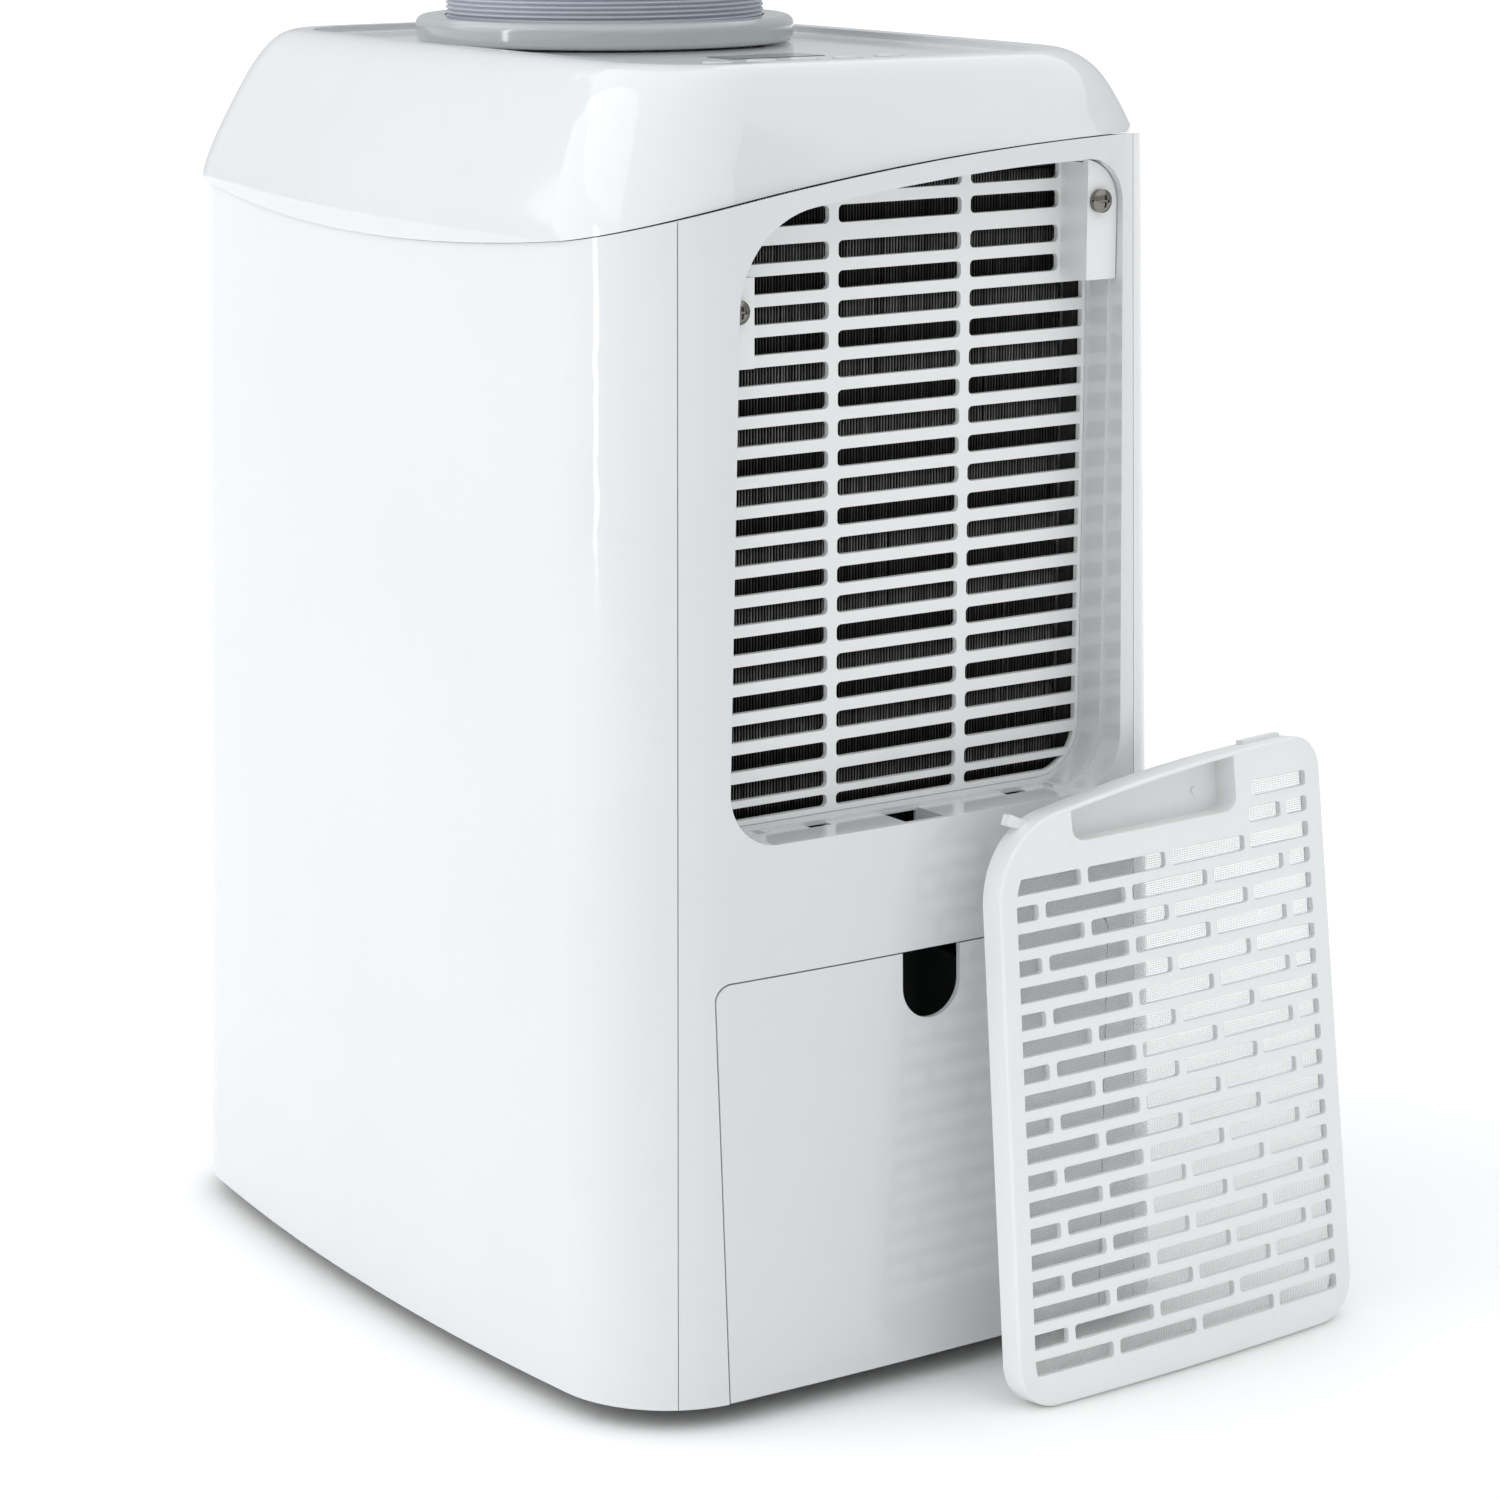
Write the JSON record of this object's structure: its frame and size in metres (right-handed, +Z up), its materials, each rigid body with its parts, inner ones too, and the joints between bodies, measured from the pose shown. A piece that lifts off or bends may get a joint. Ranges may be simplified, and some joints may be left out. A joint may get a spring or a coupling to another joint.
{
  "type": "portable air conditioner",
  "caption": "White floor-standing portable air conditioner on castors, domed top with a ribbed exhaust hose, slatted intake with its filter cover leant beside it, water tank drawer.",
  "frame": {"origin": "on the floor under the middle of the whole part, the leaning filter cover included", "axes": "+X out of the intake side, -Y out of the front, +Z up"},
  "size_m": [0.5268, 0.3924, 0.9448],
  "materials": {
    "white_gloss": "glossy moulded ABS",
    "white_satin": "satin moulded ABS",
    "mesh": "fine white nylon mesh",
    "grey_gloss": "glossy grey moulded plastic",
    "hose_grey": "satin ribbed polypropylene",
    "dark_plastic": "black moulded plastic",
    "castor_rubber": "hard grey tread",
    "rubber": "soft black rubber",
    "tank_clear": "natural polypropylene",
    "float_white": "foamed white plastic",
    "fin_aluminium": "thin rolled fins",
    "zinc_steel": "zinc-plated sheet",
    "copper": "drawn copper tube",
    "black_enamel": "black enamel",
    "screw_steel": "nickel-plated steel",
    "button_grey": "satin moulded caps",
    "display_dark": "dark tinted window",
    "circuit_green": "solder-masked board",
    "spout_white": "moulded spout"
  },
  "bodies": {
    "root": {"accumulator": "black_enamel", "base_pan": "dark_plastic", "blower_motor": "black_enamel", "blower_scroll": "dark_plastic", "compressor": "black_enamel", "compressor_mounts": "rubber", "condenser_end_plates": "zinc_steel", "condenser_fan_motor": "black_enamel", "condenser_fins": "fin_aluminium", "condenser_side_panel": "white_gloss", "condenser_tubes": "copper", "control_board": "circuit_green", "control_box": "dark_plastic", "cord_inlet": "dark_plastic", "display_window": "display_dark", "drain_spout": "spout_white", "drip_tray": "dark_plastic", "evaporator_end_plates": "zinc_steel", "evaporator_fins": "fin_aluminium", "evaporator_tubes": "copper", "exhaust_duct": "dark_plastic", "front_shell": "white_gloss", "hose_outlet": "white_satin", "intake_grille": "white_satin", "intake_side_panel": "white_gloss", "louvre_frame": "white_satin", "panel_screws": "screw_steel", "partition_deck": "zinc_steel", "rear_shell": "white_gloss", "refrigerant_pipes": "copper", "top_cover": "white_gloss"},
    "tank": {"tank_front": "white_gloss", "tank_bin": "tank_clear"},
    "tank_float": {"tank_float": "float_white"},
    "filter_cover": {"filter_cover": "white_satin", "filter_mesh": "mesh"},
    "blower_wheel": {"blower_wheel": "dark_plastic"},
    "condenser_fan": {"condenser_fan": "dark_plastic"},
    "hose_collar": {"hose_collar": "grey_gloss", "exhaust_hose": "hose_grey"},
    "hose_end": {"hose_end_coupling": "grey_gloss"},
    "louvre_link": {"louvre_link": "white_satin"},
    "drain_plug": {"drain_plug": "rubber"},
    "louvre_blade_1": {"louvre_blade_1": "white_satin"},
    "louvre_blade_2": {"louvre_blade_2": "white_satin"},
    "louvre_blade_3": {"louvre_blade_3": "white_satin"},
    "louvre_blade_4": {"louvre_blade_4": "white_satin"},
    "button_power": {"button_power": "button_grey"},
    "button_mode": {"button_mode": "button_grey"},
    "button_fan_speed": {"button_fan_speed": "button_grey"},
    "button_timer": {"button_timer": "button_grey"},
    "button_swing": {"button_swing": "button_grey"},
    "castor_front_left": {"castor_fork_front_left": "dark_plastic"},
    "castor_wheels_front_left": {"castor_wheels_front_left": "castor_rubber"},
    "castor_front_right": {"castor_fork_front_right": "dark_plastic"},
    "castor_wheels_front_right": {"castor_wheels_front_right": "castor_rubber"},
    "castor_rear_left": {"castor_fork_rear_left": "dark_plastic"},
    "castor_wheels_rear_left": {"castor_wheels_rear_left": "castor_rubber"},
    "castor_rear_right": {"castor_fork_rear_right": "dark_plastic"},
    "castor_wheels_rear_right": {"castor_wheels_rear_right": "castor_rubber"}
  },
  "joints": [
    {"name": "tank_slide", "type": "slide", "parent": "root", "child": "tank", "axis": [1, 0, 0], "range_m": [0, 0.24]},
    {"name": "float_pivot", "type": "hinge", "parent": "tank", "child": "tank_float", "pos_m": [0.07406, -0.02763, 0.04], "axis": [0, -1, 0], "range_deg": [0, 25]},
    {"name": "filter_cover_away", "type": "slide", "parent": "tank", "child": "filter_cover", "axis": [1, 0, 0], "range_m": [0, 0.2]},
    {"name": "blower_spin", "type": "hinge", "parent": "root", "child": "blower_wheel", "pos_m": [0.08006, -0.05763, 0.415], "axis": [1, 0, 0], "continuous": true},
    {"name": "condenser_fan_spin", "type": "hinge", "parent": "root", "child": "condenser_fan", "pos_m": [-0.06994, -0.02763, 0.25], "axis": [0, 0, 1], "continuous": true},
    {"name": "collar_twist", "type": "hinge", "parent": "root", "child": "hose_collar", "pos_m": [-0.06994, -0.02763, 0.614], "axis": [0, 0, 1], "range_deg": [0, 30]},
    {"name": "hose_extend", "type": "slide", "parent": "hose_collar", "child": "hose_end", "axis": [0, 0, 1], "range_m": [0, 1.2], "deforming": ["exhaust_hose"]},
    {"name": "louvre_tilt_1", "type": "hinge", "parent": "root", "child": "louvre_blade_1", "pos_m": [0.06306, 0.11837, 0.4255], "axis": [1, 0, 0], "range_deg": [-35, 35]},
    {"name": "louvre_tilt_2", "type": "hinge", "parent": "root", "child": "louvre_blade_2", "pos_m": [0.06306, 0.11837, 0.4485], "axis": [1, 0, 0], "range_deg": [-35, 35]},
    {"name": "louvre_tilt_3", "type": "hinge", "parent": "root", "child": "louvre_blade_3", "pos_m": [0.06306, 0.11837, 0.4715], "axis": [1, 0, 0], "range_deg": [-35, 35]},
    {"name": "louvre_tilt_4", "type": "hinge", "parent": "root", "child": "louvre_blade_4", "pos_m": [0.06306, 0.11837, 0.4945], "axis": [1, 0, 0], "range_deg": [-35, 35]},
    {"name": "louvre_link_slide", "type": "slide", "parent": "root", "child": "louvre_link", "axis": [0, 0, 1], "range_m": [-0.0055, 0.0055]},
    {"name": "button_power_press", "type": "slide", "parent": "root", "child": "button_power", "axis": [0, 0, -1], "range_m": [0, 0.0008], "stiffness_N_per_m": 900},
    {"name": "button_mode_press", "type": "slide", "parent": "root", "child": "button_mode", "axis": [0, 0, -1], "range_m": [0, 0.0008], "stiffness_N_per_m": 900},
    {"name": "button_fan_speed_press", "type": "slide", "parent": "root", "child": "button_fan_speed", "axis": [0, 0, -1], "range_m": [0, 0.0008], "stiffness_N_per_m": 900},
    {"name": "button_timer_press", "type": "slide", "parent": "root", "child": "button_timer", "axis": [0, 0, -1], "range_m": [0, 0.0008], "stiffness_N_per_m": 900},
    {"name": "button_swing_press", "type": "slide", "parent": "root", "child": "button_swing", "axis": [0, 0, -1], "range_m": [0, 0.0008], "stiffness_N_per_m": 900},
    {"name": "castor_swivel_front_left", "type": "hinge", "parent": "root", "child": "castor_front_left", "pos_m": [-0.20994, -0.14463, 0.03], "axis": [0, 0, 1], "continuous": true},
    {"name": "castor_roll_front_left", "type": "hinge", "parent": "castor_front_left", "child": "castor_wheels_front_left", "pos_m": [-0.21594, -0.14463, 0.013], "axis": [0, 1, 0], "continuous": true},
    {"name": "castor_swivel_front_right", "type": "hinge", "parent": "root", "child": "castor_front_right", "pos_m": [0.14906, -0.15063, 0.03], "axis": [0, 0, 1], "continuous": true},
    {"name": "castor_roll_front_right", "type": "hinge", "parent": "castor_front_right", "child": "castor_wheels_front_right", "pos_m": [0.14306, -0.15063, 0.013], "axis": [0, 1, 0], "continuous": true},
    {"name": "castor_swivel_rear_left", "type": "hinge", "parent": "root", "child": "castor_rear_left", "pos_m": [-0.21794, 0.10037, 0.03], "axis": [0, 0, 1], "continuous": true},
    {"name": "castor_roll_rear_left", "type": "hinge", "parent": "castor_rear_left", "child": "castor_wheels_rear_left", "pos_m": [-0.22394, 0.10037, 0.013], "axis": [0, 1, 0], "continuous": true},
    {"name": "castor_swivel_rear_right", "type": "hinge", "parent": "root", "child": "castor_rear_right", "pos_m": [0.15406, 0.10037, 0.03], "axis": [0, 0, 1], "continuous": true},
    {"name": "castor_roll_rear_right", "type": "hinge", "parent": "castor_rear_right", "child": "castor_wheels_rear_right", "pos_m": [0.14806, 0.10037, 0.013], "axis": [0, 1, 0], "continuous": true},
    {"name": "drain_plug_pull", "type": "slide", "parent": "root", "child": "drain_plug", "axis": [0, 1, 0], "range_m": [0, 0.05]}
  ],
  "couplings": [
    {"joint": "louvre_tilt_2", "follows": "louvre_tilt_1", "ratio": 1},
    {"joint": "louvre_tilt_3", "follows": "louvre_tilt_1", "ratio": 1},
    {"joint": "louvre_tilt_4", "follows": "louvre_tilt_1", "ratio": 1},
    {"joint": "louvre_link_slide", "follows": "louvre_tilt_1", "m_per_rad": -0.008}
  ]
}
